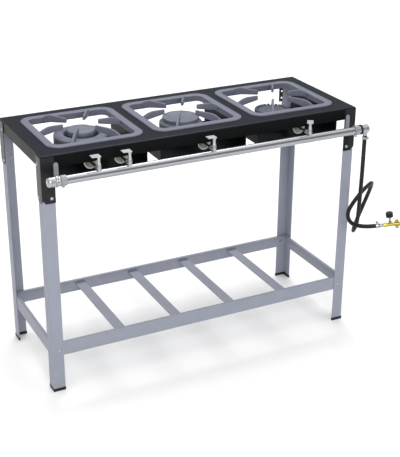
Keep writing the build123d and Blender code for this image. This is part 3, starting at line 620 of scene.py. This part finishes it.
# ---------------------------------------------------------------- manifold
# millimetres from the table's centre, and above the floor
PIPE_Y = -247.0
PIPE_Z = 716.0
PIPE_R = 12.7
PIPE_BORE = 10.5
FIT_R = 12.75
CAP_X = -531.0
PIPE_RINGS = ((-506.5, 6.0, 16.2), (-499.5, 6.0, 14.6))
GASKET = (515.0, 4.0, 16.0)
RING_SOFT = 0.7
SCREW = ((3.2, 0), (3.7, 0.2), (4.0, 0.8), (4.0, 5.6), (3.6, 6.0), (2.0, 6.0), (2.0, 8.8))


def along_pipe(x):
    """Matrix on the pipe's axis, Z to the operator's right."""
    return axis_frame(place((x, PIPE_Y, PIPE_Z)), X_AXIS)


def ring_set(name, rings, look_name, node):
    """Rounded rings around the pipe, each (start, width, radius)."""
    bm = bmesh.new()
    cut = RING_SOFT * 0.3
    for start, width, radius in rings:
        lathe(bm, (
            (FIT_R, 0), (radius - RING_SOFT, 0), (radius - cut, cut), (radius, RING_SOFT),
            (radius, width - RING_SOFT), (radius - cut, width - cut), (radius - RING_SOFT, width),
            (FIT_R, width),
        ), along_pipe(start), 64, wrap=True)
    piece(name, bm, look_name, nodes=(node,))


def manifold():
    """Polished gas pipe, its end fittings, straps and screws."""
    lo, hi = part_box("manifold_pipe")
    start = (lo.x - TABLE_X) / MM
    length = (hi.x - lo.x) / MM
    bm = bmesh.new()
    lathe(bm, (
        (PIPE_BORE, 0), (PIPE_R - 0.4, 0), (PIPE_R, 0.5), (PIPE_R, length - 0.5), (PIPE_R - 0.4, length),
        (PIPE_BORE, length),
    ), along_pipe(start), 96, wrap=True)
    piece("pipe_tube", bm, "chrome", nodes=("manifold_pipe",))
    bm = bmesh.new()
    lathe(bm, (
        (5, 0), (9.8, 0), (12.1, 0.8), (13.6, 2.2), (14.4, 4.4), (14.4, 10), (13.8, 10.8), (13.8, 12.2),
        (14.4, 13), (14.4, 23.4), (13.8, 24), (FIT_R, 24),
    ), along_pipe(CAP_X), 64)
    piece("pipe_cap", bm, "zinc", nodes=("manifold_end_cap",))
    ring_set("pipe_rings", PIPE_RINGS, "zinc", "manifold_rings")
    ring_set("pipe_gasket", (GASKET,), "rubber", "manifold_gasket")
    refined("manifold_end_elbow", "zinc", 0.5)
    for side in ("left", "right"):
        refined("manifold_strap_" + side, "strap", 0.6)
    bm = bmesh.new()
    for lo, hi in islands("strap_screws"):
        bottom = Vector(((lo.x + hi.x) / 2, (lo.y + hi.y) / 2, lo.z))
        lathe(bm, SCREW, Matrix.Translation(bottom), 32)
    piece("strap_screw_set", bm, "zinc", nodes=("strap_screws",))


TAPS = 4
TAP_UPRIGHT = (
    (7, 722.7), (7, 737.0), (6.4, 737.5), (6.4, 739.0), (7, 739.5), (7, 743.6), (6.4, 744.8), (5.6, 745),
    (3.1, 745), (3.1, 738),
)
TAP_OUTLET = ((5.5, 0), (5.5, 12.6), (4.9, 13.0), (4.9, 14.0), (5.5, 14.4), (5.5, 20.6), (5.0, 21.0))
INJECTOR_NUT = ((5.2, 0), (6.0, 0.6), (6.0, 5.4), (5.2, 6.0))
INJECTOR_NUT_Y = -226.0
INJECTOR = (
    (3.8, 0), (3.8, 12), (3.5, 12.4), (3.5, 13.6), (3.8, 14), (3.8, 34), (3.2, 36.4), (2.0, 42), (0.7, 42),
    (0.6, 38),
)
INJECTOR_Y = -220.0


def taps():
    """Tap bodies, injectors and lever handles."""
    bm_injectors = bmesh.new()
    for number in range(1, TAPS + 1):
        lo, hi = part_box(f"tap_body_{number}")
        x = ((lo.x + hi.x) / 2 - TABLE_X) / MM
        bm = bmesh.new()
        lathe(bm, TAP_UPRIGHT, Matrix.Translation(place((x, PIPE_Y, 0))), 48)
        lathe(bm, TAP_OUTLET, axis_frame(place((x, PIPE_Y, GAS_Z)), Y_AXIS), 32)
        piece(f"tap_{number}", bm, "zinc", nodes=(f"tap_body_{number}",))
        lathe(bm_injectors, INJECTOR_NUT, axis_frame(place((x, INJECTOR_NUT_Y, GAS_Z)), Y_AXIS), 6)
        lathe(bm_injectors, INJECTOR, axis_frame(place((x, INJECTOR_Y, GAS_Z)), Y_AXIS), 24)
        handle = f"tap_handle_{number}"
        refined(handle, "handle", 0.5, handle)
    piece("injector_set", bm_injectors, "injector", nodes=("injectors",))


# ---------------------------------------------------------------- hose end and cylinder valve
WING_AT = 47.0
FERRULE = (
    (5.8, 0), (6.4, 0.4), (6.6, 1.0), (6.6, 2.6), (6.1, 3.2), (6.1, 4.0), (6.6, 4.6), (6.6, 6.2),
    (6.1, 6.8), (6.1, 7.4), (6.6, 8.0), (6.6, 8.8), (5.2, 10.8), (5.0, 13.0),
)
NIPPLE = ((6.2, 0), (6.9, 0.5), (6.9, 2.0), (7.2, 2.4), (7.2, 6.4), (6.6, 7))


def joint(name):
    """Position and direction of one joint."""
    found = next(j for j in frame["joints"] if j["name"] == name)
    return Vector(found["pos_m"]), Vector(found["axis"]).normalized()


def valve():
    """Ferrule, clamps, nipple and the cylinder valve with its knob and wing nut."""
    wing_place, along = joint("wing_nut_turn")
    hose_end = wing_place - along * WING_AT * MM
    bm = bmesh.new()
    lathe(bm, FERRULE, axis_frame(hose_end, along), 40)
    ferrule = piece("hose_end_ferrule", bm, "zinc", nodes=("hose_ferrule",))
    bm = bmesh.new()
    lathe(bm, NIPPLE, Matrix.Translation(place(HOSE_POINTS[0])), 40)
    nipple = piece("hose_top_nipple", bm, "zinc", nodes=("hose_nipple",))
    clamps = refined("hose_clamps", "zinc", 0.3)
    body = refined("valve_body", "brass", 0.4)
    nose = refined("inlet_nose", "brass", 0.4)
    stem = refined("valve_stem", "zinc", 0.2, "valve_knob")
    knob = refined("valve_knob", "plastic", 0.5, "valve_knob")
    wing = refined("wing_nut", "brass", 0.9, "wing_nut", 3)
    return [ferrule, nipple, clamps, body, nose, stem, knob, wing]


# ---------------------------------------------------------------- surroundings
def area_light(name, location, target, size, power):
    """Soft square light."""
    data = bpy.data.lights.new(name, "AREA")
    data.shape = "SQUARE"
    data.size = size
    data.energy = power
    light = bpy.data.objects.new(name, data)
    way = Vector(target) - Vector(location)
    light.matrix_world = Matrix.Translation(location) @ way.to_track_quat("-Z", "Y").to_matrix().to_4x4()
    bpy.context.scene.collection.objects.link(light)


# levels of white from the horizon (0) to straight overhead (1)
SKY = ((0.0, 0.35), (0.25, 0.25), (0.45, 0.12), (0.7, 0.6), (1.0, 1.0))
SKY_STRENGTH = 1.6
FLOOR_HALF = 12.0
FLOOR_DEPTH = 0.02
# place, target, size in metres and power in watts
LIGHTS = {
    "key": ((-0.9, -2.7, 2.0), (-0.1, 0, 0.5), 1.4, 40),
    "far": ((2.0, 4.5, 5.5), (2.0, 4.5, 0), 3.0, 130),
    "top": ((0.6, 0.8, 3.2), (0, 0, 0.7), 2.4, 15),
}


def studio_world():
    """Grey sky that brightens overhead, for soft reflections."""
    world = bpy.data.worlds.new("studio")
    world.use_nodes = True
    nodes = world.node_tree.nodes
    links = world.node_tree.links
    where = nodes.new("ShaderNodeTexCoord")
    split = nodes.new("ShaderNodeSeparateXYZ")
    sky = nodes.new("ShaderNodeValToRGB")
    for stop in SKY[1:-1]:
        sky.color_ramp.elements.new(stop[0])
    for element, (position, level) in zip(sky.color_ramp.elements, SKY):
        element.position = position
        element.color = (level, level, level, 1.0)
    links.new(where.outputs["Generated"], split.inputs["Vector"])
    links.new(split.outputs["Z"], sky.inputs["Fac"])
    links.new(sky.outputs["Color"], nodes["Background"].inputs["Color"])
    nodes["Background"].inputs["Strength"].default_value = SKY_STRENGTH
    bpy.context.scene.world = world


def surroundings():
    """Sky, plain pale floor and soft studio lights."""
    studio_world()
    bm = bmesh.new()
    slab(bm, FLOOR_HALF, -FLOOR_DEPTH, 0.0)
    mesh = bpy.data.meshes.new("floor")
    bm.to_mesh(mesh)
    bm.free()
    mesh.materials.append(look("look_floor", (250, 250, 250), 0.85, vary=0.01, patch=2))
    floor = bpy.data.objects.new("floor", mesh)
    bpy.context.scene.collection.objects.link(floor)
    for name, (location, target, size, power) in LIGHTS.items():
        area_light(name, location, target, size, power)
    bpy.context.scene.view_settings.view_transform = "Standard"


# ---------------------------------------------------------------- build
add_camera()
hose_tube = add_hose()
hose_tube.data.materials.append(LOOKS["rubber"])
table()
stand()
bolts()
for bay_name in BAYS:
    grate(bay_name)
left_burner()
middle_burner()
right_burner()
mixing_tubes()
manifold()
taps()
valve_pieces = valve()
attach(hose_tube, "stand")
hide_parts("gas_hose")
surroundings()
